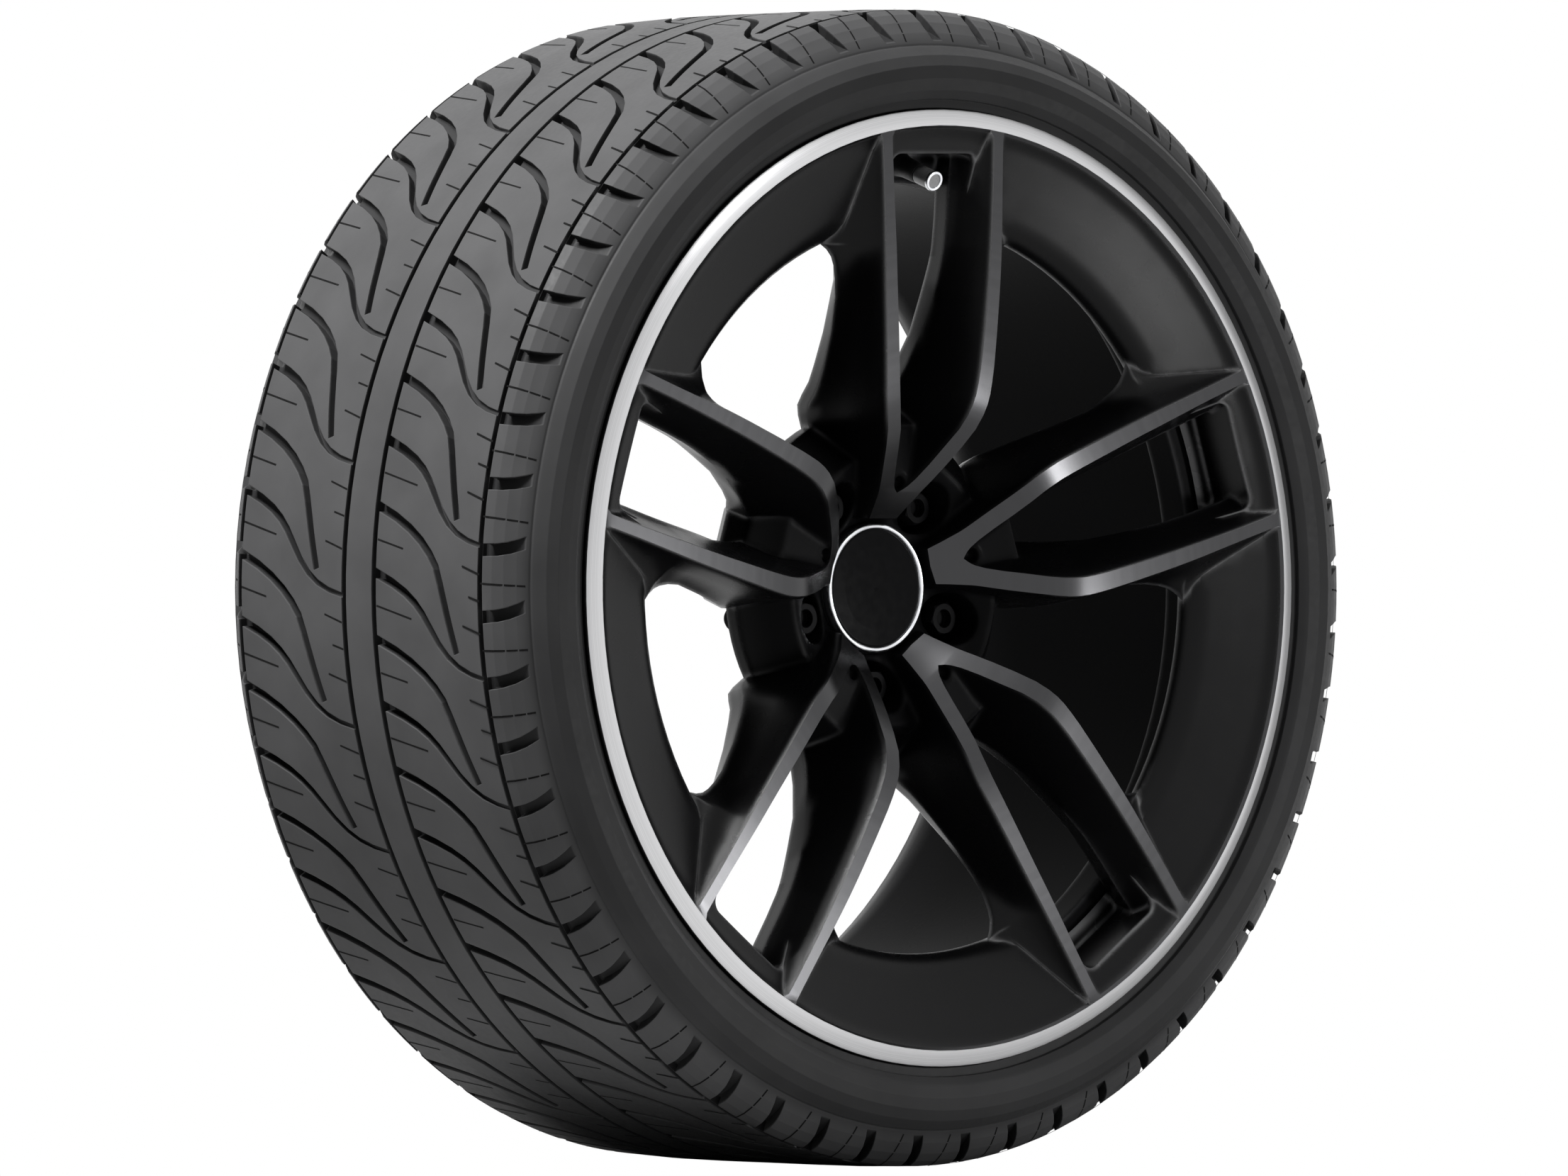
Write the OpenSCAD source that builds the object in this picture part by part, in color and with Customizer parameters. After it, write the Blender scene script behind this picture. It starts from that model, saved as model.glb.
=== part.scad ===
// Car wheel: cast alloy rim with machined spoke faces, mounted tyre, bolts, centre cap and valve.
// The wheel stands upright. Its spin axis is Y, the outboard face looks towards -Y and +Z is up.
// Every piece is drawn first on the wheel's own axis: z runs outboard from the lip, y is up.

/* [Rim] */
// Radius of the rim's flanges
rim_r = 271.5; // [268:0.5:275]
// Distance between the outer faces of the two flanges
rim_w = 264; // [258:1:270]
// Distance from the rim's middle plane to the mounting face
inset = 45; // [42:1:48]
// Height of the flanges above the bead seats
flange_h = 17.5; // [17:0.1:18]
// Thickness of a flange
flange_w = 10.5; // [10:0.1:11.5]
// Width of a bead seat
seat_w = 22; // [21:0.5:24]
// Thickness of the barrel's wall
barrel_wall = 6.7; // [6:0.1:8]
// Depth of the well below the bead seats
well_depth = 17.3; // [16.5:0.1:18]
// Width of the bright ring on the lip
lip_w = 9; // [8:0.5:10]

/* [Spokes] */
// Number of spoke pairs
pairs = 5; // [5:1:5]
// Radius at which the spoke faces start
tip_r = 39.5; // [39.5:0.1:41]
// Depth of the steep band below the edges of a spoke's face
edge_band = 5; // [4:0.5:6]
// Radius of the rounded corners of the small windows
window_corner_r = 6; // [4:0.5:8]
// Radius of the round pocket in the fork of each pair
pocket_r = 4.2; // [3.5:0.1:4.6]

/* [Hub] */
// Radius of the centre bore
bore_r = 33.3; // [32:0.1:34]
// Radius of the bolt circle
bolt_circle_r = 56; // [55:0.5:57]
// Number of wheel bolts
bolts = 5; // [5:1:5]
// Radius of the bolt holes
bolt_hole_r = 7.6; // [7.4:0.1:8]
// Radius of the wells that the bolt heads stand in
bolt_well_r = 15; // [14:0.5:15.5]
// Depth of metal below the floor of a bolt well
pad_t = 14; // [13:0.5:16]
// Radius of the mounting face
pad_r = 76; // [74:1:80]

/* [Bolts] */
// Radius of a bolt's shank
shank_r = 7; // [6.5:0.1:7.1]
// Radius of the ball seat
ball_r = 14; // [13.5:0.1:14.5]
// Distance across the flats of a bolt's head
head_flats = 17; // [16:0.5:19]
// Height of a bolt's head above the well's floor
head_h = 19; // [17:0.5:21]
// Length of shank past the mounting face
shank_out = 28; // [24:1:34]

/* [Centre cap] */
// Radius of the cap's bright ring
cap_r = 37; // [36.5:0.1:37.2]
// Width of the bright ring
cap_ring_w = 3.4; // [3:0.1:4]
// Height of the ring in front of the hub's face
cap_proud = 5.8; // [5:0.1:6.5]

/* [Valve] */
// Length of the valve in front of the rim's wall
valve_len = 36; // [34:0.5:38]
// Radius of the valve hole
valve_hole_r = 5.75; // [5.6:0.05:5.9]
// Thickness of the rim's wall at the valve
valve_wall = 5; // [4:0.5:6]
// Tilt of the valve towards the wheel's axis
valve_tilt = 18.6; // [16:0.2:20]
// Radius of the valve cap
valve_cap_r = 5.5; // [5.2:0.1:5.8]

/* [Tyre] */
// Radius of the tyre at its outboard shoulder
tyre_r = 328.4; // [325:0.2:332]
// How much smaller the inboard shoulder is
tyre_taper = 6; // [4:0.5:7]
// Distance that the sidewalls bulge past the flanges
bulge = 3.9; // [3:0.1:5]
// Number of times that the tread pattern repeats
pitches = 27; // [24:1:30]
// Depth of the tread grooves
groove_depth = 7; // [6:0.5:7.5]
// Width of the four grooves that run round the tyre
rib_groove_w = 3.9; // [3:0.1:4.5]

/* [Hidden] */
$fn = 96;

// Gap between pieces that seat on each other
fit_gap = 0.3;

seat_r = rim_r - flange_h;
lip_in_r = rim_r - lip_w;
well_r = seat_r - well_depth;
barrel_in_r = seat_r - 11;
mount_s = inset - rim_w / 2;
// Shift of the hub against the design that the spoke curves are written for
hub_shift = mount_s + 87;
well_floor_s = mount_s + pad_t;
hump_s = -flange_w - seat_w;
// Height of the ball seat's centre above the floor of its well
ball_drop = sqrt(ball_r * ball_r - 11.8 * 11.8);

// Smooth curves through hand-chosen points

function chord(p, i) = (p[i + 1][1] - p[i][1]) / (p[i + 1][0] - p[i][0]);
function fair(a, b) = a * b <= 0 ? 0 : 2 * a * b / (a + b);
function slope_at(p, i) =
    i == 0 ? chord(p, 0) : i == len(p) - 1 ? chord(p, i - 1) : fair(chord(p, i - 1), chord(p, i));
function piece_of(x, p, i = 0) = i >= len(p) - 2 || x < p[i + 1][0] ? i : piece_of(x, p, i + 1);
function hermite(t, h, a, b, ma, mb) =
    a * (2 * t * t * t - 3 * t * t + 1) + b * (3 * t * t - 2 * t * t * t)
    + ma * h * (t * t * t - 2 * t * t + t) + mb * h * (t * t * t - t * t);
function smooth(x, p) =
    let (i = piece_of(x, p), h = p[i + 1][0] - p[i][0], t = max(0, min(1, (x - p[i][0]) / h)))
    hermite(t, h, p[i][1], p[i + 1][1], slope_at(p, i), slope_at(p, i + 1));
function mix(a, b, t) = a + (b - a) * t;
function bezier(p, t) =
    p[0] * pow(1 - t, 3) + p[1] * 3 * t * pow(1 - t, 2) + p[2] * 3 * t * t * (1 - t) + p[3] * pow(t, 3);
function heading(p, t) =
    let (v = (p[1] - p[0]) * pow(1 - t, 2) + (p[2] - p[1]) * 2 * t * (1 - t) + (p[3] - p[2]) * t * t)
    v / norm(v);

// Closed solid through rings that have as many points each
module loft(rings) {
    n = len(rings[0]);
    last = (len(rings) - 1) * n;
    sides = [
        for (i = [0:len(rings) - 2])
            for (j = [0:n - 1])
                let (a = i * n + j, b = i * n + (j + 1) % n)
                    each [[a, b + n, a + n], [a, b, b + n]]
    ];
    caps = [[for (j = [n - 1:-1:0]) j], [for (j = [0:n - 1]) last + j]];
    polyhedron([for (ring = rings) each ring], concat(sides, caps));
}

module on_wheel() {
    rotate([90, 0, 0])
        translate([0, 0, rim_w / 2])
            children();
}

module round_the_wheel(count, first = 0) {
    for (i = [0:count - 1])
        rotate([0, 0, first + i * 360 / count])
            children();
}

// Spoke faces and flanks. w runs along a pair from the axis to the lip, t across it, s outboard.

design_lip_r = 262.5;
root_w = 130;
// Where the two spokes of a pair part
fork_w = 54;
corner_w = 195;
corner_t = 71.5;
crease_end_t = 46.5;
crease_end_w = 256;
face_lean = 0.4;
function reach(w) = w <= root_w ? w : root_w + (w - root_w) * (lip_in_r - root_w) / (design_lip_r - root_w);
function unreach(w) = w <= root_w ? w : root_w + (w - root_w) * (design_lip_r - root_w) / (lip_in_r - root_w);
function hub_part(w) = hub_shift * max(0, min(1, (170 - w) / 110));

face_curve = [
    [39, -49], [60, -30.8], [80, -16.4], [96, -6.4], [114, -0.9], [145, 2], [210, 3.95], [262.5, 3.3]
];
lip_rise = 3.3;
function face_s(r) =
    r > lip_in_r ? lip_rise * (1 - (r - lip_in_r) / lip_w) - 0.05
    : smooth(unreach(r), face_curve) + hub_part(r);

outer_edge = [[39, 10.3], [52, 15], [70, 24.2], [100, 37.3], [112, 39.8], [150, 42.5], [180, 44], [256, 46.2], [261, 49.5]];
inner_edge = [[39, 0], [fork_w, 0], [56, 3.2], [60, 7], [80, 17.5], [100, 26.7], [112, 29.7], [150, 33.5], [180, 35.7], [256, 39.1], [261, 36]];
outer_back = [[39, 16], [49, 20.5], [56, 24], [80, 36], [101, 45], [111, 47.5], [118.5, 48.6], [145, 50.7], [165, 51.7], [181, 57.2], [187, 60.6], [192, 66], [195, 71.5]];
outer_back_s = [[39, -66], [56, -66], [80, -66], [101, -62], [111, -52], [118.5, -47], [145, -35.5], [165, -31], [195, -22]];
inner_crease = [[39, 0], [fork_w, 0], [58, 2.6], [92, 12.5], [116, 17], [160, 22], [200, 27.2], [225, 29.4], [246, 30.5], [261, 32]];
inner_crease_s = [[39, -59], [45, -55], [fork_w, -45], [56, -42], [62, -36.5], [92, -31.5], [116, -31], [160, -24], [200, -17], [225, -15], [246, -8], [261, -5]];
inner_back = [[39, 0], [fork_w, 0], [58, 0.8], [92, 5], [108, 7.5], [116, 10.2], [147, 18.7], [160, 20.2], [200, 24], [246, 26], [261, 30]];
inner_back_s = [[39, -64], [56, -64], [92, -60], [108, -52], [116, -47], [147, -34.5], [160, -28.5], [200, -21], [247, -19], [251.5, -7], [261, -6]];
back_s = [[39, -80], [101, -76], [118, -62], [145, -50], [165, -44], [194, -37], [247, -34], [251.5, -8], [261, -7.5]];
stations = [tip_r, 45, fork_w, 56, 58, 62, 70, 80, 90, 98, 104, 110, 117, 126, 145, 165, 175, 183, 188, 192, 195, 210, 228, 247, 251.5, 256, 261];

function along_crease(w) = (w - corner_w) / (crease_end_w - corner_w);
function outer_back_t(w) = w <= corner_w ? smooth(w, outer_back) : mix(corner_t, crease_end_t, min(1, along_crease(w)));
function outer_back_depth(w) = w <= corner_w ? smooth(w, outer_back_s) : mix(-22, 0.5, min(1, along_crease(w)));

// Outer flank of a spoke from its back edge up to its face
function flank(w) =
    let (
        x = reach(w),
        to = smooth(w, outer_edge),
        so = face_s(norm([x, to])),
        bt = outer_back_t(w),
        bs = outer_back_depth(w) + hub_part(w),
        od = min(edge_band, (so - bs) * 0.5),
        foot = to + face_lean * od
    )
    [
        [bt, x, bs],
        [mix(foot, bt, 0.62), x, mix(so - od, bs, 0.8)],
        [mix(foot, bt, 0.28), x, mix(so - od, bs, 0.5)],
        [foot, x, so - od],
        [to, x, so]
    ];

// Inner flank from the face down to the back edge, and the back
function inside(w) =
    let (
        x = reach(w),
        ti = smooth(w, inner_edge),
        si = face_s(norm([x, ti])),
        h = hub_part(w),
        cs = smooth(w, inner_crease_s) + h,
        et = smooth(w, inner_back),
        es = smooth(w, inner_back_s) + h,
        deep = smooth(w, back_s) + h,
        id = min(edge_band, (si - cs) * 0.4)
    )
    [
        [ti, x, si],
        [max(0, ti - face_lean * id), x, si - id],
        [smooth(w, inner_crease), x, cs],
        [et, x, es],
        [et + 4, x, min(es - 1, deep)],
        [
            min(outer_back_t(w) - 5, mix(44, 38, max(0, along_crease(w)))), x,
            min(outer_back_depth(w) + h - 1, deep)
        ]
    ];

module spoke() {
    loft([for (w = stations) concat(flank(w), inside(w))]);
}

// Floor between the two spokes of a pair, from their fork to the small window
module fork_floor() {
    half = 15;
    translate([half, 0, hub_shift])
        rotate([90, 0, -90])
            linear_extrude(height = half * 2)
                polygon([
                    [-50, -80], [-50, -44], [-56, -35.5], [-60, -33], [-92.3, -33.3],
                    [-106, -52], [-108, -70], [-100, -82]
                ]);
}

module rim_profile() {
    far = -rim_w;
    polygon([
        [rim_r - 0.8, 0.3], [rim_r, -0.6], [rim_r, -4], [rim_r - 2, -8], [rim_r - 5.5, -flange_w],
        [seat_r + 4, -flange_w], [seat_r + 1.5, -flange_w - 1.5], [seat_r, -flange_w - 4],
        [seat_r - 1.6, hump_s], [seat_r - 0.5, hump_s - 3], [seat_r - 1.7, hump_s - 6],
        [well_r, hump_s - 13], [well_r, hump_s - 30], [seat_r - 7, hump_s - 40],
        [seat_r - 7, far - hump_s + 14], [seat_r - 1.7, far - hump_s + 6], [seat_r - 0.5, far - hump_s + 3],
        [seat_r - 1.6, far - hump_s], [seat_r, far + flange_w + 4],
        [seat_r + 1.5, far + flange_w + 1.5], [seat_r + 4, far + flange_w],
        [rim_r - 5.5, far + flange_w], [rim_r - 2, far + 8], [rim_r, far + 4],
        [rim_r, far + 1], [rim_r - 1, far], [rim_r - 7, far], [rim_r - 10, far + 1.5],
        [seat_r - 3, far + 12], [barrel_in_r, far + 30],
        [seat_r - 7 - barrel_wall, far + 44], [seat_r - 7 - barrel_wall, hump_s - 36],
        [well_r - barrel_wall, hump_s - 28], [well_r - barrel_wall, hump_s - 8], [barrel_in_r, hump_s - 4],
        [barrel_in_r - 4, hump_s - 3.5], [reach(222), -33], [reach(212), -31],
        [reach(207.5), -26], [reach(208), -21.5], [reach(211), -17.5], [reach(215.5), -14.6], [reach(221), -12.6],
        [reach(254), -1.9], [reach(258), -0.3], [reach(261), 1.8], [lip_in_r, lip_rise]
    ]);
}

module small_window() {
    translate([0, 0, hump_s - 3])
        linear_extrude(height = 60)
            offset(r = window_corner_r, $fn = 24)
                offset(delta = -window_corner_r)
                    polygon([
                        [-30, reach(196)], [30, reach(196)],
                        [32, reach(246.5)], [-32, reach(246.5)]
                    ]);
}

module rim_blank() {
    difference() {
        rotate_extrude($fn = 180)
            rim_profile();
        round_the_wheel(pairs)
            small_window();
    }
}

module hub_blank() {
    translate([0, 0, hub_shift])
        rotate_extrude($fn = 120)
            polygon([
                [bore_r - 12, -87], [bore_r - 12, -58], [41, -58], [56, -49], [71, -41.5],
                [76.5, -38.6], [78.5, -38.6], [100, -62], [99, -72], [pad_r + 4, -86], [pad_r + 3, -87]
            ]);
}

module hub_bores() {
    translate([0, 0, mount_s])
        rotate_extrude($fn = 120)
            polygon([
                [0, -1], [bore_r + 1, -1], [bore_r + 1, 0], [bore_r, 1], [bore_r, 16], [bore_r + 1.3, 17],
                [bore_r + 1.3, 21], [bore_r - 0.7, 23], [bore_r - 0.7, 25.5], [bore_r + 0.3, 26.3],
                [cap_r + 0.8, 26.3], [cap_r + 0.8, 28.4], [cap_r + 1.6, 29], [cap_r + 1.6, 60], [0, 60]
            ]);
}

module bolt_bores() {
    ball_s = well_floor_s + ball_drop;
    round_the_wheel(bolts, 36)
        translate([0, bolt_circle_r, 0]) {
            translate([0, 0, mount_s - 1])
                cylinder(r = bolt_hole_r, h = pad_t + 10);
            translate([0, 0, well_floor_s])
                cylinder(r = bolt_well_r, h = 60);
            translate([0, 0, ball_s])
                sphere(r = ball_r + fit_gap);
        }
}

module fork_pocket() {
    translate([0, 59.5, -39 + hub_shift])
        cylinder(r = pocket_r, h = 12, $fn = 32);
}

// Frame of the valve: z along its axis, zero on the front of the rim's wall
valve_s = hump_s - 5.3;
valve_r = seat_r - 12;
module at_valve() {
    translate([0, valve_r, valve_s])
        rotate([valve_tilt, 0, 0])
            children();
}

module valve_bores() {
    at_valve() {
        translate([0, 0, -20])
            cylinder(r = valve_hole_r, h = 30, $fn = 48);
        cylinder(r = 8.3, h = 12, $fn = 48);
        translate([0, 0, -valve_wall - 12])
            cylinder(r = 11, h = 12, $fn = 48);
    }
}

module alloy_wheel() {
    color([0.16, 0.16, 0.17])
        difference() {
            union() {
                rim_blank();
                hub_blank();
                round_the_wheel(pairs) {
                    spoke();
                    mirror([1, 0, 0])
                        spoke();
                    fork_floor();
                }
            }
            hub_bores();
            bolt_bores();
            round_the_wheel(pairs)
                fork_pocket();
            valve_bores();
        }
}

// Tyre. a runs outboard from the inboard border of a tread band, b clockwise seen from outside.

inboard_s = -rim_w + 28.6;
rib_s = -rim_w + 121;
outband_s = -rim_w + 147.1;
outboard_s = -30.4;
band_w = outboard_s - outband_s;
function crown_r(s) = tyre_r - smooth(-s, [[27, 0], [60, 0.3], [132, 2.2 * tyre_taper / 6], [190, 0.65 * tyre_taper], [237, tyre_taper + 1]]);

function stroke(p, from, to, n) =
    concat(
        [for (i = [0:n]) let (t = i / n, d = heading(p, t)) bezier(p, t) + [-d[1], d[0]] * mix(from, to, t) / 2],
        [for (i = [n:-1:0]) let (t = i / n, d = heading(p, t)) bezier(p, t) - [-d[1], d[0]] * mix(from, to, t) / 2]
    );

// The two curved grooves that each pitch of a tread band has
module band_grooves() {
    polygon(stroke([[-1, 0.4], [28, -10], [36, -17.5], [45.5, -31]], 5.6, 4.7, 5));
    polygon(stroke([[45.2, -30.6], [58, -49], [66, -56], [90, -61]], 4.7, 2.6, 5));
    polygon(stroke([[-1, 38.2], [28, 28], [43, 16], [51.5, 3]], 5.4, 5.4, 5));
    polygon(stroke([[51.3, 3.3], [57, -9], [61, -26], [67, -46]], 5.4, 5, 4));
}

module band_cut(s0, first) {
    floor_in = crown_r(s0) - groove_depth;
    floor_out = crown_r(s0 + band_w) - groove_depth;
    tilt = atan((floor_out - floor_in) / band_w);
    round_the_wheel(pitches, first)
        translate([floor_in, 0, s0])
            rotate([0, 90 + tilt, 0])
                linear_extrude(height = 18)
                    rotate(180)
                        band_grooves();
}

module shoulder_cut(s0, top, low, side, first) {
    run = norm([top - low, 22]);
    round_the_wheel(pitches * 2, first)
        translate([top, 0, s0])
            rotate([0, 90 - side * atan((top - low) / 22), 0])
                linear_extrude(height = 22)
                    rotate(180)
                        polygon(stroke(
                            [[-2 * side, 0], [side * run * 0.4, 0], [side * run * 0.6, 2], [side * run, 7]], 7.2, 6.4, 4
                        ));
}

module rib_slot(s0) {
    base = crown_r(s0) - groove_depth;
    translate([base, s0 - rib_groove_w / 2])
        square([groove_depth + 8, rib_groove_w]);
}

module tyre_profile() {
    far = -rim_w;
    low = tyre_r - tyre_taper;
    difference() {
        polygon([
            [seat_r + fit_gap, -flange_w - 5], [seat_r + 2, -flange_w - 2],
            [seat_r + 5, -flange_w - fit_gap], [rim_r - 5.2, -flange_w - fit_gap], [rim_r - 1.6, -8.3],
            [rim_r + 0.5, -4.4], [rim_r + 0.8, -3.4], [rim_r + 5.8, -3.2], [rim_r + 6, -0.7],
            [rim_r + 11, bulge - 1.4], [rim_r + 18, bulge], [rim_r + 25, bulge - 0.8], [rim_r + 31, bulge - 4.3],
            [tyre_r - 21, -7], [tyre_r - 20.6, -8.2], [tyre_r - 19.4, -8.6], [tyre_r - 13.4, -12],
            [tyre_r - 7.4, -16.5], [tyre_r - 3, -21.5], [tyre_r - 0.3, -26.6],
            [crown_r(-60), -60], [crown_r(-100), -100], [crown_r(-132), -132], [crown_r(-165), -165],
            [crown_r(-200), -200], [crown_r(-237), -237],
            [low - 3.8, far + 21.5], [low - 8, far + 16.5], [low - 13.6, far + 12], [low - 19, far + 8.8],
            [low - 20.2, far + 8.2], [low - 20.6, far + 7],
            [rim_r + 29, 4.3 - bulge + far], [rim_r + 24, 0.8 - bulge + far], [rim_r + 18, far - bulge],
            [rim_r + 11, 1.4 - bulge + far], [rim_r + 6, far + 0.7], [rim_r + 5.8, far + 3.2], [rim_r + 0.8, far + 3.4],
            [rim_r + 0.5, far + 4.4], [rim_r - 1.6, far + 8.3], [rim_r - 5.2, far + flange_w + fit_gap],
            [seat_r + 5, far + flange_w + fit_gap], [seat_r + 2, far + flange_w + 2],
            [seat_r + fit_gap, far + flange_w + 5], [seat_r - 0.8, far - hump_s - 2.4], [seat_r + 2, far - hump_s],
            [rim_r, far + 20], [rim_r + 18, far + 9], [low - 24, far + 14], [low - 14, far + 28],
            [crown_r(-190) - 11.5, far + 74], [crown_r(-132) - 12, far / 2], [crown_r(-70) - 12.3, -70],
            [tyre_r - 15, -28], [tyre_r - 24, -14], [rim_r + 18, -9], [rim_r, -20],
            [seat_r + 2, hump_s], [seat_r - 0.8, hump_s + 2.4]
        ]);
        for (s = [inboard_s - 1.7, rib_s - 1.9, outband_s - 2.1, outboard_s + 1.9])
            rib_slot(s);
    }
}

module tyre() {
    color([0.13, 0.13, 0.14])
        difference() {
            rotate_extrude($fn = 360)
                tyre_profile();
            band_cut(inboard_s, -3.377);
            band_cut(outband_s, 5.176);
            shoulder_cut(-28, tyre_r - 7, tyre_r - 20, 1, 2.887);
            shoulder_cut(28 - rim_w, tyre_r - tyre_taper - 8, tyre_r - tyre_taper - 20, -1, 2.54);
        }
}

// Centre cap

cap_front = mount_s + 29 + cap_proud;
module cap_ring() {
    in_r = cap_r - cap_ring_w;
    color([0.8, 0.8, 0.82])
        translate([0, 0, cap_front])
            rotate_extrude($fn = 120)
                polygon([
                    [in_r, -6], [in_r, -1.6], [in_r + 0.6, -0.5], [in_r + cap_ring_w / 2, 0],
                    [cap_r - 0.7, -0.5], [cap_r, -1.8], [cap_r, -6]
                ]);
}

module cap_disc() {
    disc_r = cap_r - cap_ring_w - 0.1;
    color([0.04, 0.04, 0.045])
        translate([0, 0, cap_front])
            rotate_extrude($fn = 120)
                polygon([
                    [0, -3.6], [disc_r, -3.6], [disc_r, -1.7], [disc_r - 1, -1.4],
                    [disc_r * 0.7, -1.1], [disc_r * 0.35, -0.95], [0, -0.9]
                ]);
}

module cap_body() {
    back = mount_s + 26.3 + fit_gap;
    color([0.07, 0.07, 0.075])
        difference() {
            rotate_extrude($fn = 120)
                polygon([
                    [0, cap_front - 6], [0, cap_front - 3.6], [cap_r - cap_ring_w - 0.1, cap_front - 3.6],
                    [cap_r - cap_ring_w - 0.1, cap_front - 6], [cap_r, cap_front - 6], [cap_r, back],
                    [bore_r - 1.2, back], [bore_r - 1.2, back - 3.6], [bore_r + 0.7, back - 5.4],
                    [bore_r + 0.5, back - 6.6], [bore_r - 1.6, back - 9.6], [bore_r - 3.2, back - 9.6],
                    [bore_r - 3.2, cap_front - 6]
                ]);
            for (i = [0:5])
                rotate([0, 0, i * 30])
                    translate([-60, -2, back - 20])
                        cube([120, 4, 19.4]);
        }
}

module cap_spring() {
    wire_r = 0.9;
    color([0.6, 0.6, 0.62])
        translate([0, 0, mount_s + 20.5])
            rotate_extrude($fn = 96)
                translate([bore_r - 3.2 - wire_r - 0.1, 0])
                    circle(r = wire_r, $fn = 24);
}

// Wheel bolts

// The plain neck above the thread is as thick as the thread's pitch circle.
module wheel_bolt(i) {
    collar_r = 11.6;
    neck_cut = 0.5;
    color([0.3, 0.3, 0.31])
        rotate([0, 0, 36 + i * 360 / bolts])
            translate([0, bolt_circle_r, 0])
                difference() {
                    union() {
                        translate([0, 0, mount_s - shank_out])
                            cylinder(r = shank_r, h = shank_out);
                        translate([0, 0, mount_s])
                            cylinder(r = shank_r - neck_cut, h = pad_t);
                        translate([0, 0, mount_s - shank_out - 2])
                            cylinder(r1 = shank_r - 1.5, r2 = shank_r, h = 2);
                        intersection() {
                            translate([0, 0, well_floor_s + ball_drop])
                                sphere(r = ball_r);
                            translate([0, 0, mount_s])
                                cylinder(r = collar_r, h = pad_t + 3);
                        }
                        intersection() {
                            translate([0, 0, well_floor_s + 2])
                                cylinder(r = head_flats / sqrt(3), h = head_h - 2, $fn = 6);
                            translate([0, 0, well_floor_s + head_h - 30])
                                rotate_extrude()
                                    polygon([[0, 0], [13, 0], [13, 26], [head_flats / 2, 30], [0, 30]]);
                        }
                    }
                    translate([0, 0, well_floor_s + head_h - 5])
                        cylinder(r = 5.2, h = 6);
                }
}

// Valve

stem_top = valve_len - 2.7;
module valve_part(shade) {
    color(shade)
        at_valve()
            rotate_extrude($fn = 64)
                children();
}

module valve_body() {
    valve_part([0.06, 0.06, 0.06])
        polygon([
            [3.9, valve_len - 14], [5.4, valve_len - 14], [5.8, valve_len - 16], [6.1, 10], [7.4, 4], [7.5, fit_gap],
            [valve_hole_r - 0.1, fit_gap], [valve_hole_r - 0.1, -valve_wall - fit_gap],
            [9.3, -valve_wall - fit_gap], [9.3, -valve_wall - 3], [6.5, -valve_wall - 9], [5, -valve_wall - 11],
            [3.9, -valve_wall - 11]
        ]);
}

module valve_stem() {
    valve_part([0.7, 0.6, 0.35])
        polygon([
            [1.5, -valve_wall - 12], [3.85, -valve_wall - 12], [3.85, stem_top - 0.5], [3.4, stem_top],
            [2.65, stem_top], [2.65, valve_len - 12], [2, valve_len - 13], [2, valve_len - 20], [1.5, valve_len - 21]
        ]);
}

core_floor = valve_len - 16;
module valve_core() {
    valve_part([0.72, 0.62, 0.4])
        polygon([
            [0.7, core_floor - 1], [1.75, core_floor - 1], [1.75, valve_len - 12.8], [2.2, valve_len - 11.6],
            [2.58, valve_len - 9.5], [2.58, stem_top - 2], [1.6, stem_top - 2], [1.6, core_floor], [0.7, core_floor]
        ]);
}

module valve_core_seal() {
    valve_part([0.5, 0.1, 0.08])
        polygon([
            [1.8, valve_len - 14.6], [1.98, valve_len - 14.6], [1.98, valve_len - 13.4], [1.8, valve_len - 13.4]
        ]);
}

module valve_pin() {
    valve_part([0.72, 0.62, 0.4])
        polygon([
            [0, core_floor - 3.2], [1.3, core_floor - 3.2], [1.3, core_floor - 1.3], [0.6, core_floor - 1.3],
            [0.6, stem_top - 5], [1.4, stem_top - 5], [1.4, stem_top - 4], [0.6, stem_top - 4],
            [0.6, stem_top - 0.4], [0, stem_top - 0.4]
        ]);
}

module valve_spring() {
    low = core_floor + 0.35;
    high = stem_top - 5.35;
    coil_r = 1.1;
    wire_r = 0.2;
    turns = 5;
    steps = 10;
    color([0.6, 0.6, 0.62])
        at_valve()
            loft([
                for (i = [0:turns * steps])
                    let (a = i * 360 / steps, z = mix(low, high, i / turns / steps))
                        [
                            for (k = [0:4])
                                let (r = coil_r + wire_r * cos(k * 72))
                                    [r * cos(a), r * sin(a), z - wire_r * sin(k * 72)]
                        ]
            ]);
}

module valve_cap() {
    valve_part([0.05, 0.05, 0.05])
        polygon([
            [3.95, valve_len - 13.6], [valve_cap_r - 0.5, valve_len - 13.6], [valve_cap_r, valve_len - 13],
            [valve_cap_r, valve_len - 2.2], [valve_cap_r - 0.9, valve_len - 2.2], [valve_cap_r - 0.9, valve_len - 0.8],
            [0, valve_len - 0.8], [0, valve_len - 1.5], [3.95, valve_len - 1.5]
        ]);
}

module valve_cap_ring() {
    valve_part([0.75, 0.75, 0.77])
        polygon([
            [valve_cap_r - 0.85, valve_len - 2.15], [valve_cap_r + 0.3, valve_len - 2.15],
            [valve_cap_r + 0.45, valve_len - 1.6], [valve_cap_r + 0.3, valve_len - 0.3], [valve_cap_r, valve_len],
            [valve_cap_r - 1.2, valve_len], [valve_cap_r - 1.6, valve_len - 0.75], [valve_cap_r - 0.85, valve_len - 0.75]
        ]);
}

module valve_cap_seal() {
    valve_part([0.1, 0.1, 0.1])
        polygon([[0, valve_len - 2.4], [3.9, valve_len - 2.4], [3.9, valve_len - 1.55], [0, valve_len - 1.55]]);
}

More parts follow.
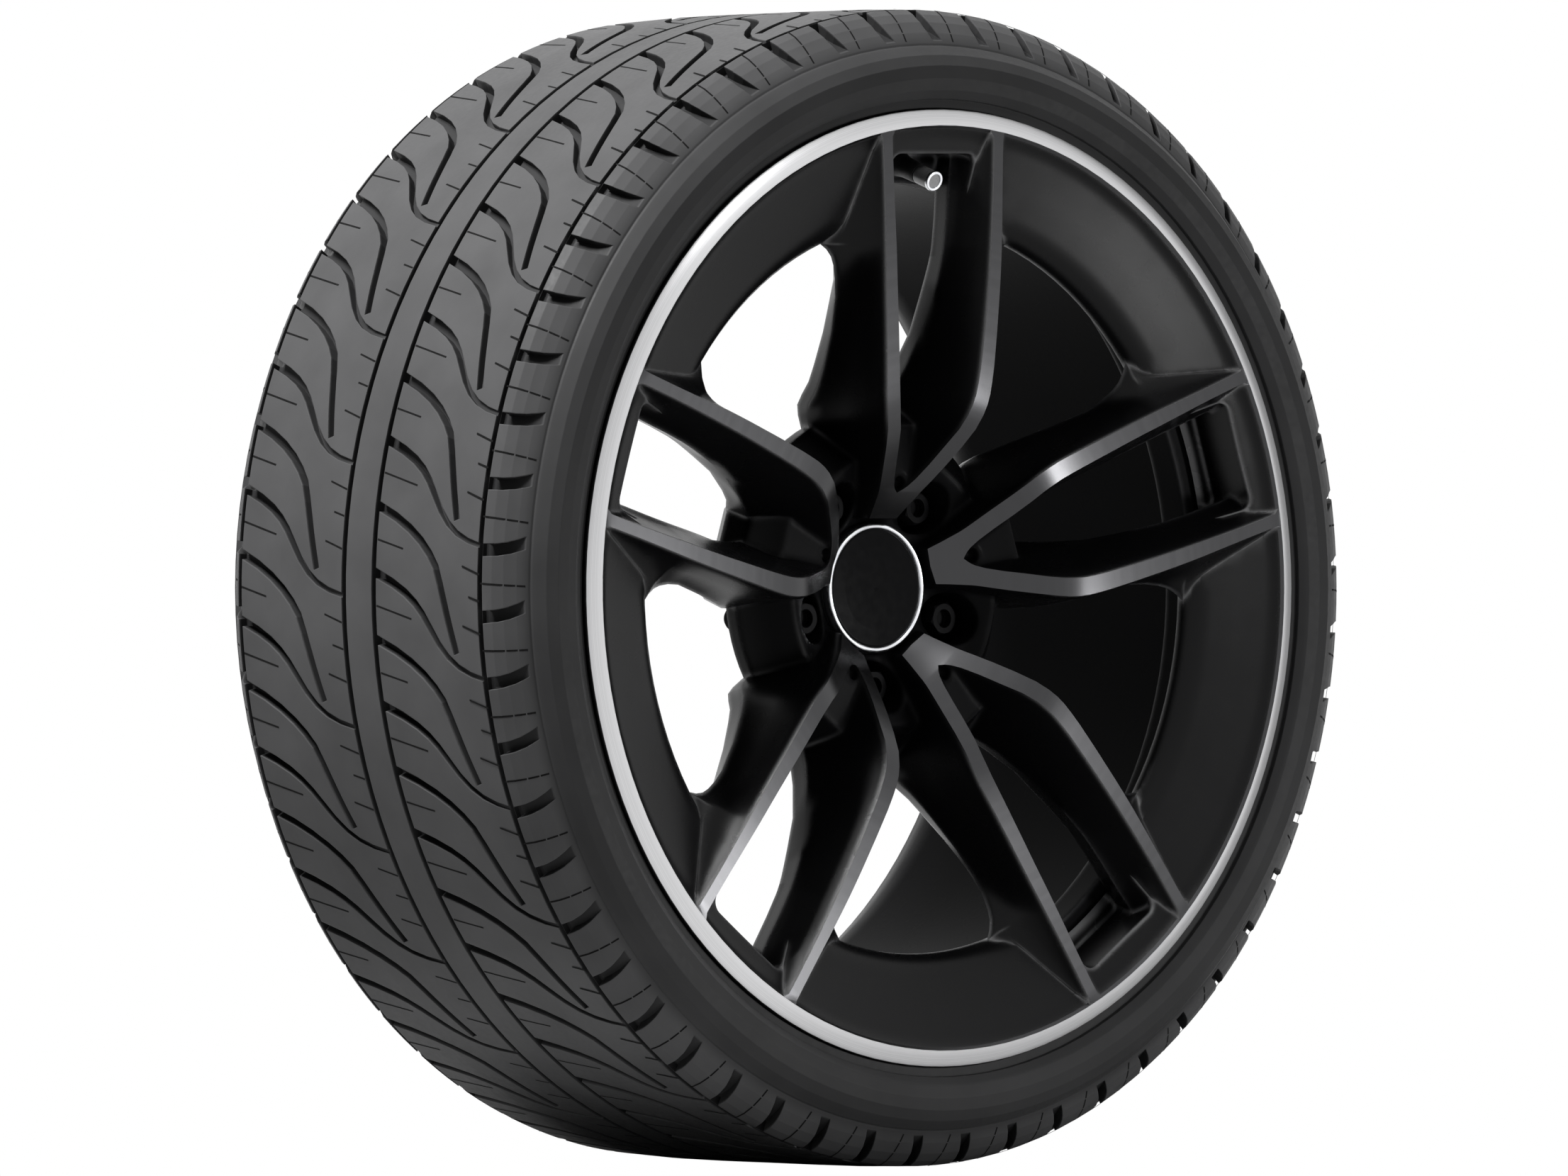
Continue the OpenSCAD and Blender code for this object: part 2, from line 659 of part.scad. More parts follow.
on_wheel() alloy_wheel();
on_wheel() tyre();
on_wheel() cap_body();
on_wheel() cap_ring();
on_wheel() cap_disc();
on_wheel() cap_spring();
on_wheel() wheel_bolt(0);  // wheel_bolt_1
on_wheel() wheel_bolt(1);  // wheel_bolt_2
on_wheel() wheel_bolt(2);  // wheel_bolt_3
on_wheel() wheel_bolt(3);  // wheel_bolt_4
on_wheel() wheel_bolt(4);  // wheel_bolt_5
on_wheel() valve_body();
on_wheel() valve_stem();
on_wheel() valve_core();
on_wheel() valve_core_seal();
on_wheel() valve_pin();
on_wheel() valve_spring();
on_wheel() valve_cap();
on_wheel() valve_cap_ring();
on_wheel() valve_cap_seal();
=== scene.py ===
"""Looks of a car wheel: cast rim with machined spoke faces, tyre, bolts, centre cap and valve."""

import logging
import math
from collections.abc import Callable
from dataclasses import dataclass
from enum import Enum

import bmesh
import bpy
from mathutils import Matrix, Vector


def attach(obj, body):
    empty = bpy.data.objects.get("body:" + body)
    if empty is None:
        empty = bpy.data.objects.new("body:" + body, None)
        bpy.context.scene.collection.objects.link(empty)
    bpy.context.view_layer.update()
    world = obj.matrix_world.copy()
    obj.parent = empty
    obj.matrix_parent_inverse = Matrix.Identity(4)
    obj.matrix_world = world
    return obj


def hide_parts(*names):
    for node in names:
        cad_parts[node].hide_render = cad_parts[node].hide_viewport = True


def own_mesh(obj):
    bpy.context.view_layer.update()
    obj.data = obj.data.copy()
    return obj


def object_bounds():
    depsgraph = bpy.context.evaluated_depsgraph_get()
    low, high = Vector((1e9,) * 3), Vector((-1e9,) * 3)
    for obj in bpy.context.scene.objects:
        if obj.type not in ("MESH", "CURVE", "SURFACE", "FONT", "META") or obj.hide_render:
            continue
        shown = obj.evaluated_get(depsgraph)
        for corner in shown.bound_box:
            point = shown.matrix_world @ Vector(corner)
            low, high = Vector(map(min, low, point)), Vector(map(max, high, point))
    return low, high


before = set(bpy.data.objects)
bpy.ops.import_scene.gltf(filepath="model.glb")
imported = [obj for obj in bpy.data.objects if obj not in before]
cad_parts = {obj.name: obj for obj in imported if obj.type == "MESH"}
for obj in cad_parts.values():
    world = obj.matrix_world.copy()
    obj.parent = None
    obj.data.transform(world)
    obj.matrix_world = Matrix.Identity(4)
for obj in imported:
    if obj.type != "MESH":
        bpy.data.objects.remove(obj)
cad_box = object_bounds()

log = logging.getLogger("wheel")

MM = 0.001
WHEEL = "wheel"
# where the front plane of the rim's lip lies along the wheel's axis
LIP_Y = -0.132
# corners of the CAD mesh closer than this are one
SAME_M = 2e-6
# the span in which most of a noise texture's values fall
NOISE_LOW, NOISE_HIGH = 0.3, 0.7
# the tyre's outline: depth behind the lip and radius, in millimetres
CROWN = (
    (8.6, 309.0), (12, 315.0), (16.5, 321.0), (21.5, 325.4), (26.6, 328.1), (30.4, 328.4), (60, 328.1),
    (132, 326.2), (190, 324.5), (235.4, 321.5), (242.5, 318.6), (247.5, 314.4), (252, 308.8), (255.2, 303.4)
)


class NodeSheet:
    """Node tree of one material, with short calls to place and link nodes."""

    def __init__(self, name: str) -> None:
        """Starts an empty sheet with its shader and output.

        Args:
            name: The material's name.
        """
        self.material = bpy.data.materials.new(name)
        self.material.use_nodes = True
        self.tree = self.material.node_tree
        self.tree.nodes.clear()
        self.shader = self.add("ShaderNodeBsdfPrincipled")
        self.join(self.shader.outputs["BSDF"], self.add("ShaderNodeOutputMaterial").inputs["Surface"])
        self.place = self.add("ShaderNodeTexCoord").outputs["Object"]

    def add(self, kind: str, **settings: object) -> bpy.types.Node:
        """Places a node.

        Args:
            kind: The node's type name.
            settings: Attributes of the node.

        Returns:
            The new node.
        """
        node = self.tree.nodes.new(kind)
        for key, value in settings.items():
            setattr(node, key, value)
        return node

    def join(self, source: bpy.types.NodeSocket, target: bpy.types.NodeSocket) -> None:
        """Links two sockets."""
        self.tree.links.new(source, target)

    def math(self, operation: str, *values: object) -> bpy.types.NodeSocket:
        """Places a math node.

        Args:
            operation: The math node's operation.
            values: A socket or a number for each of its inputs.

        Returns:
            The result's socket.
        """
        node = self.add("ShaderNodeMath", operation=operation)
        for index, value in enumerate(values):
            if isinstance(value, bpy.types.NodeSocket):
                self.join(value, node.inputs[index])
            else:
                node.inputs[index].default_value = float(value)
        return node.outputs[0]

    def radius(self) -> bpy.types.NodeSocket:
        """Gives the distance from the wheel's axis.

        Returns:
            The socket that carries it, in metres.
        """
        flat = self.add("ShaderNodeVectorMath", operation="MULTIPLY")
        self.join(self.place, flat.inputs[0])
        flat.inputs[1].default_value = (1.0, 0.0, 1.0)
        length = self.add("ShaderNodeVectorMath", operation="LENGTH")
        self.join(flat.outputs[0], length.inputs[0])
        return length.outputs["Value"]

    def along(self) -> bpy.types.NodeSocket:
        """Gives the place along the wheel's axis.

        Returns:
            The socket that carries it, in metres.
        """
        parts = self.add("ShaderNodeSeparateXYZ")
        self.join(self.place, parts.inputs[0])
        return parts.outputs["Y"]

    def noise(
        self, scale: float, detail: float = 3.0, source: bpy.types.NodeSocket | None = None
    ) -> bpy.types.NodeSocket:
        """Places a noise texture.

        Args:
            scale: Its scale, in patches a metre.
            detail: Its levels of detail.
            source: A single value to read instead of the place.

        Returns:
            The socket of its grey value.
        """
        node = self.add("ShaderNodeTexNoise", noise_dimensions="3D" if source is None else "1D")
        node.inputs["Scale"].default_value = scale
        node.inputs["Detail"].default_value = detail
        self.join(self.place if source is None else source, node.inputs["Vector" if source is None else "W"])
        return node.outputs["Fac"]

    def mapped(
        self, value: bpy.types.NodeSocket, span: tuple, onto: tuple = (0.0, 1.0), soft: bool = False
    ) -> bpy.types.NodeSocket:
        """Maps one span of values onto another, held at both ends.

        Args:
            value: The socket to map.
            span: Where the span starts and ends.
            onto: What its start and its end become.
            soft: True to ease it in and out.

        Returns:
            The mapped socket.
        """
        node = self.add("ShaderNodeMapRange", interpolation_type="SMOOTHSTEP" if soft else "LINEAR")
        for name, number in zip(("From Min", "From Max", "To Min", "To Max"), (*span, *onto)):
            node.inputs[name].default_value = number
        self.join(value, node.inputs["Value"])
        return node.outputs["Result"]

    def spread(self, value: bpy.types.NodeSocket, middle: float, part: float) -> bpy.types.NodeSocket:
        """Maps a noise value onto numbers round a middle one.

        Args:
            value: The noise's socket.
            middle: The number in the middle.
            part: Share of it by which the ends lie lower and higher.

        Returns:
            The mapped socket.
        """
        return self.mapped(value, (NOISE_LOW, NOISE_HIGH), (middle * (1 - part), middle * (1 + part)))

    def blend(
        self, factor: bpy.types.NodeSocket, first: bpy.types.NodeSocket | tuple, second: tuple
    ) -> bpy.types.NodeSocket:
        """Blends two colours.

        Args:
            factor: The socket with the second colour's share.
            first: The first colour, or its socket.
            second: The second colour.

        Returns:
            The blended colour's socket.
        """
        node = self.add("ShaderNodeMix", data_type="RGBA")
        self.join(factor, node.inputs["Factor"])
        if isinstance(first, tuple):
            node.inputs["A"].default_value = (*first, 1.0)
        else:
            self.join(first, node.inputs["A"])
        node.inputs["B"].default_value = (*second, 1.0)
        return node.outputs["Result"]

    def paint(self, colour: bpy.types.NodeSocket, strength: bpy.types.NodeSocket) -> None:
        """Colours the shader.

        Args:
            colour: The colour's socket.
            strength: The socket that makes it lighter and darker.
        """
        scale = self.add("ShaderNodeVectorMath", operation="SCALE")
        self.join(colour, scale.inputs[0])
        self.join(strength, scale.inputs["Scale"])
        self.join(scale.outputs[0], self.shader.inputs["Base Color"])

    def tint(self, value: bpy.types.NodeSocket, dark: tuple, light: tuple) -> None:
        """Colours the shader between two shades by a noise value.

        Args:
            value: The socket that picks the shade.
            dark: The shade at the noise's low end.
            light: The shade at its high end.
        """
        ramp = self.add("ShaderNodeValToRGB")
        ends = ramp.color_ramp.elements
        ends[0].position, ends[1].position = NOISE_LOW, NOISE_HIGH
        ends[0].color, ends[1].color = (*dark, 1.0), (*light, 1.0)
        self.join(value, ramp.inputs["Fac"])
        self.join(ramp.outputs["Color"], self.shader.inputs["Base Color"])

    def relief(self, value: bpy.types.NodeSocket, depth: float, strength: float, round_r: float) -> None:
        """Gives the surface a relief, over edges that are rounded in shading.

        Args:
            value: The height's socket.
            depth: Height of the relief in metres.
            strength: How strongly it shows.
            round_r: Radius that the edges seem to have.
        """
        bump = self.add("ShaderNodeBump")
        bump.inputs["Strength"].default_value = strength
        bump.inputs["Distance"].default_value = depth
        self.join(value, bump.inputs["Height"])
        edge = self.add("ShaderNodeBevel", samples=6)
        edge.inputs["Radius"].default_value = round_r
        self.join(edge.outputs["Normal"], bump.inputs["Normal"])
        self.join(bump.outputs["Normal"], self.shader.inputs["Normal"])


def shaded(colour: tuple, factor: float) -> tuple:
    """Makes a colour lighter or darker.

    Args:
        colour: Red, green and blue.
        factor: What each is multiplied by.

    Returns:
        The new colour.
    """
    return tuple(min(1.0, part * factor) for part in colour)


@dataclass(frozen=True)
class Finish:
    """A plain finish: a colour with slight mottling and a fine relief."""

    name: str
    colour: tuple
    roughness: float
    metallic: float = 0.0
    specular: float = 0.5
    grain: float = 900.0
    depth: float = 0.00002
    mottle: float = 0.12
    round_r: float = 0.0003
    bump: float = 0.35
    uneven: float = 0.15
    # how many times coarser the mottling is than the grain
    coarse: float = 6.0

    def sheet(self) -> NodeSheet:
        """Builds the node sheet of this finish.

        Returns:
            The sheet, with its shader's plain values set.
        """
        made = NodeSheet(self.name)
        made.shader.inputs["Metallic"].default_value = self.metallic
        made.shader.inputs["Specular IOR Level"].default_value = self.specular
        return made

    def mottled(self, made: NodeSheet, value: bpy.types.NodeSocket) -> None:
        """Varies the colour by a noise value."""
        made.tint(value, shaded(self.colour, 1 - self.mottle), shaded(self.colour, 1 + self.mottle))

    def roughen(self, made: NodeSheet, value: bpy.types.NodeSocket) -> None:
        """Varies the roughness by a noise value."""
        made.join(made.spread(value, self.roughness, self.uneven), made.shader.inputs["Roughness"])

    def build(self) -> bpy.types.Material:
        """Builds the material.

        Returns:
            The finished material.
        """
        made = self.sheet()
        grain = made.noise(self.grain)
        self.mottled(made, made.noise(self.grain / self.coarse))
        self.roughen(made, grain)
        made.relief(grain, self.depth, self.bump, self.round_r)
        return made.material


@dataclass(frozen=True)
class CastPaint(Finish):
    """Gloss paint over a casting: painted highlights on rounded edges, painted shade in hollows and at the
    bolt wells, and a duller barrel with its own painted light and shade.
    """

    bump: float = 0.25
    uneven: float = 0.04
    # patches a metre of the colour's and of the roughness's unevenness
    cloud: float = 14.0
    haze: float = 60.0
    # painted highlight: a lighter colour and stronger mirroring along the rounded edges
    edge: tuple = (0.065, 0.065, 0.068)
    edge_highlight_specular: float = 0.9
    # the rounded normal's share along the true one, where an edge starts and where it is full
    edge_highlight_span: tuple = (0.985, 0.87)
    # painted shade: weaker mirroring in hollows that ambient occlusion finds within this distance
    hollow_m: float = 0.05
    hollow_shade_specular: float = 0.09
    # painted light and shade in the barrel behind the spokes: a slightly lighter colour and much weaker
    # mirroring
    barrel: tuple = (0.0065, 0.0065, 0.007)
    barrel_shade_specular: float = 0.12
    barrel_span: tuple = (-0.102, -0.094)
    barrel_r: float = 0.19
    # painted shade at the bolt wells: mirroring falls to this share and the painted edge highlight fades out
    hub_span: tuple = (0.086, 0.116)
    hub_shade_specular: float = 0.25

    def rounded(self, made: NodeSheet) -> bpy.types.NodeSocket:
        """Tells where the casting turns an edge, where the painted edge highlight goes.

        Args:
            made: The sheet.

        Returns:
            A socket from 0 on the flat to 1 on an edge.
        """
        edge = made.add("ShaderNodeBevel", samples=8)
        edge.inputs["Radius"].default_value = self.round_r
        flat = made.add("ShaderNodeNewGeometry")
        dot = made.add("ShaderNodeVectorMath", operation="DOT_PRODUCT")
        made.join(edge.outputs["Normal"], dot.inputs[0])
        made.join(flat.outputs["Normal"], dot.inputs[1])
        turned = made.mapped(dot.outputs["Value"], self.edge_highlight_span)
        return made.math("MULTIPLY", turned, self.beyond_hub(made, 0.0))

    def beyond_hub(self, made: NodeSheet, low: float) -> bpy.types.NodeSocket:
        """Fades a value out towards the bolt wells, from 1 on the spokes to low at the wells, for painted
        shade there.
        """
        return made.mapped(made.radius(), self.hub_span, (low, 1.0), soft=True)

    def shine(
        self, made: NodeSheet, rounded: bpy.types.NodeSocket, in_barrel: bpy.types.NodeSocket
    ) -> bpy.types.NodeSocket:
        """Works out how strongly each place mirrors, with a painted highlight on edges and painted shade in
        hollows, at the bolt wells and in the barrel.

        Args:
            made: The sheet.
            rounded: The socket that is 1 on an edge.
            in_barrel: The socket that is 1 in the barrel.

        Returns:
            The socket of the specular level.
        """
        open_air = made.add("ShaderNodeAmbientOcclusion", samples=6)
        open_air.inputs["Distance"].default_value = self.hollow_m
        gloss = made.mapped(open_air.outputs["AO"], (0.0, 1.0), (self.hollow_shade_specular, self.specular))
        # painted highlight on edges, then painted shade at the bolt wells and in the barrel
        level = made.math("MULTIPLY_ADD", rounded, self.edge_highlight_specular, gloss)
        level = made.math("MULTIPLY", level, self.beyond_hub(made, self.hub_shade_specular))
        dull = made.math("MULTIPLY_ADD", in_barrel, self.barrel_shade_specular - 1.0, 1.0)
        return made.math("MULTIPLY", level, dull)

    def build(self) -> bpy.types.Material:
        """Builds the material.

        Returns:
            The finished material.
        """
        made = self.sheet()
        behind = made.mapped(made.along(), self.barrel_span)
        in_barrel = made.math("MULTIPLY", behind, made.math("GREATER_THAN", made.radius(), self.barrel_r))
        rounded = self.rounded(made)
        # painted highlight: a lighter colour on edges; painted light in the barrel: its own slightly lighter
        # colour
        colour = made.blend(rounded, made.blend(in_barrel, self.colour, self.barrel), self.edge)
        made.paint(colour, made.spread(made.noise(self.cloud), 1.0, self.mottle))
        made.join(self.shine(made, rounded, in_barrel), made.shader.inputs["Specular IOR Level"])
        self.roughen(made, made.noise(self.haze))
        made.relief(made.noise(self.grain, 1.5), self.depth, self.bump, self.round_r)
        return made.material


@dataclass(frozen=True)
class TurnedMetal(Finish):
    """Metal cut on a lathe, with fine rings round the wheel's axis."""

    bump: float = 0.3
    uneven: float = 0.04
    ring: float = 1700.0
    # how many times coarser the broad rings are, and the fine ones' share of the colour
    coarse: float = 9.0
    fine_share: float = 0.6

    def build(self) -> bpy.types.Material:
        """Builds the material.

        Returns:
            The finished material.
        """
        made = self.sheet()
        rings = made.noise(self.ring, 2.0, made.radius())
        broad = made.noise(self.ring / self.coarse, 2.0, made.radius())
        broad_part = made.math("MULTIPLY", broad, 1 - self.fine_share)
        self.mottled(made, made.math("MULTIPLY_ADD", rings, self.fine_share, broad_part))
        self.roughen(made, broad)
        made.relief(rings, self.depth, self.bump, self.round_r)
        return made.material


@dataclass(frozen=True)
class TyreRubber(Finish):
    """Satin rubber: paler on the tread, with painted shade down in its grooves, and with fine moulded rings
    on the walls.
    """

    uneven: float = 0.1
    # patches a metre of the colour's and of the roughness's unevenness, and rings a metre
    cloud: float = 25.0
    haze: float = 300.0
    ring: float = 700.0
    grain_share: float = 0.6
    tread: tuple = (0.058, 0.058, 0.059)
    tread_span: tuple = (0.305, 0.315)
    # painted shade: the darker colour down in the grooves
    groove: tuple = (0.024, 0.024, 0.0245)
    groove_shade_span: tuple = (0.0004, 0.0016)
    # radii between which grooves begin to count, so that the wall stays as it is
    wall_span: tuple = (0.294, 0.3)
    # radii in millimetres that the outline's curve runs between
    curve_span: tuple = (300.0, 330.0)

    def outline(self, made: NodeSheet, share: bpy.types.NodeSocket) -> bpy.types.NodeSocket:
        """Gives the radius of the tyre's outline.

        Args:
            made: The sheet.
            share: The socket that runs from 0 to 1 across the outline.

        Returns:
            The socket of the radius in metres.
        """
        first, last = CROWN[0][0], CROWN[-1][0]
        low, high = self.curve_span
        spots = [((depth - first) / (last - first), (r - low) / (high - low)) for depth, r in CROWN]
        node = made.add("ShaderNodeFloatCurve")
        curve = node.mapping.curves[0]
        curve.points[0].location, curve.points[1].location = spots[0], spots[-1]
        for spot in spots[1:-1]:
            curve.points.new(*spot)
        for point in curve.points:
            point.handle_type = "VECTOR"
        node.mapping.update()
        made.join(share, node.inputs["Value"])
        return made.math("MULTIPLY_ADD", node.outputs["Value"], (high - low) * MM, low * MM)

    def sunken(self, made: NodeSheet, radius: bpy.types.NodeSocket) -> bpy.types.NodeSocket:
        """Tells how far a place lies down in a groove.

        Args:
            made: The sheet.
            radius: The socket with the distance from the axis.

        Returns:
            A socket from 0 on the outline to 1 in a groove.
        """
        first, last = CROWN[0][0], CROWN[-1][0]
        behind = made.math("SUBTRACT", made.along(), LIP_Y + first * MM)
        share = made.math("DIVIDE", behind, (last - first) * MM)
        below = made.math("SUBTRACT", self.outline(made, share), radius)
        deep = made.mapped(below, self.groove_shade_span, soft=True)
        across = made.math("COMPARE", share, 0.5, 0.5)
        on_tread = made.math("MULTIPLY", made.mapped(radius, self.wall_span), across)
        return made.math("MULTIPLY", deep, on_tread)

    def build(self) -> bpy.types.Material:
        """Builds the material.

        Returns:
            The finished material.
        """
        made = self.sheet()
        radius = made.radius()
        zones = made.blend(made.mapped(radius, self.tread_span, soft=True), self.colour, self.tread)
        # painted shade in the grooves
        colour = made.blend(self.sunken(made, radius), zones, self.groove)
        made.paint(colour, made.spread(made.noise(self.cloud), 1.0, self.mottle))
        self.roughen(made, made.noise(self.haze))
        rings = made.math("MULTIPLY", made.noise(self.ring, 1.0, radius), 1 - self.grain_share)
        height = made.math("MULTIPLY_ADD", made.noise(self.grain), self.grain_share, rings)
        made.relief(height, self.depth, self.bump, self.round_r)
        return made.material


class Coat(Enum):
    """The finishes of this wheel."""

    PAINT = CastPaint(
        "gloss_black_casting", (0.003, 0.003, 0.0033), 0.27,
        specular=0.13, grain=420.0, depth=0.00003, mottle=0.1, round_r=0.0056
    )
    FACE = TurnedMetal(
        "machined_spoke_face", (0.055, 0.055, 0.057), 0.25,
        metallic=1.0, depth=0.000004, mottle=0.03, round_r=0.0006
    )
    LIP = TurnedMetal(
        "turned_bright_lip", (0.7, 0.7, 0.71), 0.32,
        metallic=0.55, depth=0.00002, mottle=0.12, round_r=0.0005, ring=2200.0
    )
    RUBBER = TyreRubber(
        "satin_rubber", (0.031, 0.031, 0.0316), 0.45,
        specular=0.06, grain=1100.0, depth=0.00005, mottle=0.1, round_r=0.0008
    )
    # painted shade of the tread's slits
    SIPE = Finish("sipe_shadow", (0.004, 0.004, 0.004), 0.9, specular=0.1)
    BOLT = Finish(
        "black_coated_steel", (0.003, 0.003, 0.0034), 0.4,
        specular=0.04, grain=1200.0, mottle=0.15, round_r=0.0006
    )
    CHROME = Finish(
        "chromed_ring", (0.8, 0.81, 0.84), 0.2,
        metallic=1.0, grain=300.0, depth=0.000004, mottle=0.03, round_r=0.0008
    )
    DISC = Finish(
        "gloss_black_disc", (0.002, 0.002, 0.0024), 0.2,
        specular=0.04, grain=200.0, depth=0.000004, mottle=0.1
    )
    PLASTIC = Finish("black_moulding", (0.018, 0.018, 0.019), 0.45, specular=0.4)
    VALVE_CAP = Finish(
        "moulded_valve_cap", (0.22, 0.22, 0.225), 0.3,
        specular=0.8, grain=1200.0, mottle=0.08, round_r=0.0005
    )
    WIRE = Finish("spring_wire", (0.5, 0.5, 0.52), 0.3, metallic=1.0)
    VALVE = Finish("matt_valve_rubber", (0.02, 0.02, 0.02), 0.5, specular=0.35)
    BRASS = Finish("nickelled_brass", (0.6, 0.5, 0.3), 0.28, metallic=1.0)
    SEAL = Finish("red_rubber_seal", (0.3, 0.04, 0.03), 0.5)
    FLOOR = Finish("pale_floor", (0.5, 0.5, 0.5), 0.8, specular=0.1, grain=30.0, depth=0.0001, mottle=0.01)

    @property
    def material(self) -> bpy.types.Material:
        """The built material, made on first use."""
        return bpy.data.materials.get(self.value.name) or self.value.build()


def dress(node: str, coat: Coat) -> None:
    """Gives a CAD node its finish.

    Args:
        node: The node's name.
        coat: The finish.
    """
    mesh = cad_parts[node].data
    mesh.materials.clear()
    mesh.materials.append(coat.material)
    log.info("%s: %s", node, coat.value.name)


def placed(name: str, data: bpy.types.ID) -> bpy.types.Object:
    """Makes an object and puts it into the scene.

    Args:
        name: The object's name.
        data: Its mesh, lamp or camera.

    Returns:
        The new object.
    """
    item = bpy.data.objects.new(name, data)
    bpy.context.scene.collection.objects.link(item)
    return item


def shaped(bm: bmesh.types.BMesh, name: str, coat: Coat) -> bpy.types.Object:
    """Turns a bmesh into an object with a finish.

    Args:
        bm: The finished shape, freed here.
        name: The object's name.
        coat: Its finish.

    Returns:
        The new object.
    """
    mesh = bpy.data.meshes.new(name)
    bm.to_mesh(mesh)
    bm.free()
    mesh.materials.append(coat.material)
    return placed(name, mesh)


def settle(bm: bmesh.types.BMesh, name: str, coat: Coat) -> bpy.types.Object:
    """Turns a bmesh into a piece that rides on the wheel.

    Args:
        bm: The finished shape, freed here.
        name: The piece's name.
        coat: Its finish.

    Returns:
        The new object.
    """
    piece = shaped(bm, name, coat)
    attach(piece, WHEEL)
    log.info("%s: %d faces", name, len(piece.data.polygons))
    return piece


def merged(node: str) -> bmesh.types.BMesh:
    """Copies a CAD node's mesh, joins its loose triangles and shades them smoothly.

    Args:
        node: The node's name.

    Returns:
        The joined copy.
    """
    bm = bmesh.new()
    bm.from_mesh(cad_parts[node].data)
    bmesh.ops.remove_doubles(bm, verts=bm.verts, dist=SAME_M)
    for face in bm.faces:
        face.smooth = True
    return bm


def read_off(points: tuple, place: float) -> float:
    """Reads a value off a line of points.

    Args:
        points: Pairs of place and value, by rising place.
        place: Where to read.

    Returns:
        The value there, or the last one beyond the end.
    """
    for (start, first), (end, second) in zip(points, points[1:]):
        if place <= end:
            return first + (second - first) * (place - start) / (end - start)
    return points[-1][1]


@dataclass
class Casting:
    """The cast rim: a smoothly shaded copy of the CAD node and its machined skins."""

    sharp_deg: float = 33.0
    tip_r: float = 39.3
    lip_in_r: float = 262.5
    lip_r: float = 271.6
    lip_behind: float = 0.7
    strip_slack: float = 1.6
    slack: float = 0.02
    # how far a machined face's normal points inboard at most
    lip_facing: float = -0.5
    strip_facing: float = -0.6
    skin: float = 0.00006
    # the spoke faces' radius and distance outboard of the lip, in millimetres
    face_points: tuple = (
        (39, -49), (60, -30.8), (80, -16.4), (96, -6.4), (114, -0.9), (145, 2), (210, 3.95), (262.5, 3.3)
    )

    def where(self, face: bmesh.types.BMFace) -> tuple:
        """Gives a face's middle as radius and outboard distance in millimetres."""
        middle = face.calc_center_median()
        return math.hypot(middle.x, middle.z) / MM, (LIP_Y - middle.y) / MM

    def on_lip(self, face: bmesh.types.BMFace) -> bool:
        """Tells whether a face belongs to the bright ring.

        Args:
            face: A face of the casting.

        Returns:
            True if it does.
        """
        radius, out = self.where(face)
        on_ring = self.lip_in_r - self.slack < radius < self.lip_r
        return on_ring and out > -self.lip_behind and face.normal.y < self.lip_facing

    def on_strip(self, face: bmesh.types.BMFace) -> bool:
        """Tells whether a face belongs to a spoke's machined face.

        Args:
            face: A face of the casting.

        Returns:
            True if it does.
        """
        radius, out = self.where(face)
        if not self.tip_r < radius < self.lip_in_r or face.normal.y > self.strip_facing:
            return False
        return abs(out - read_off(self.face_points, radius)) < self.strip_slack

    def crease(self, bm: bmesh.types.BMesh) -> None:
        """Marks the edges that stay sharp.

        Args:
            bm: The mesh to mark them in.
        """
        most = math.radians(self.sharp_deg)
        for edge in bm.edges:
            edge.smooth = len(edge.link_faces) == 2 and edge.calc_face_angle(0.0) < most

    def shell(self) -> None:
        """Builds the painted casting, shaded smoothly but for its real edges."""
        bm = merged("alloy_wheel")
        self.crease(bm)
        piece = settle(bm, "rim_casting", Coat.PAINT)
        piece.modifiers.new("weights", "WEIGHTED_NORMAL").keep_sharp = True
        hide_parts("alloy_wheel")

    def machined(
        self, name: str, coat: Coat, chosen: Callable[[bmesh.types.BMFace], bool]
    ) -> None:
        """Builds a thin machined skin from the casting's own faces.

        Args:
            name: The piece's name.
            coat: Its finish.
            chosen: Tells whether a face belongs to it.
        """
        bm = merged("alloy_wheel")
        bmesh.ops.delete(bm, geom=[face for face in bm.faces if not chosen(face)], context="FACES")
        for vert in bm.verts:
            vert.co.y -= self.skin
        self.crease(bm)
        settle(bm, name, coat)

    def build(self) -> None:
        """Builds the casting and its skins."""
        self.shell()
        self.machined("machined_faces", Coat.FACE, self.on_strip)
        self.machined("machined_lip", Coat.LIP, self.on_lip)


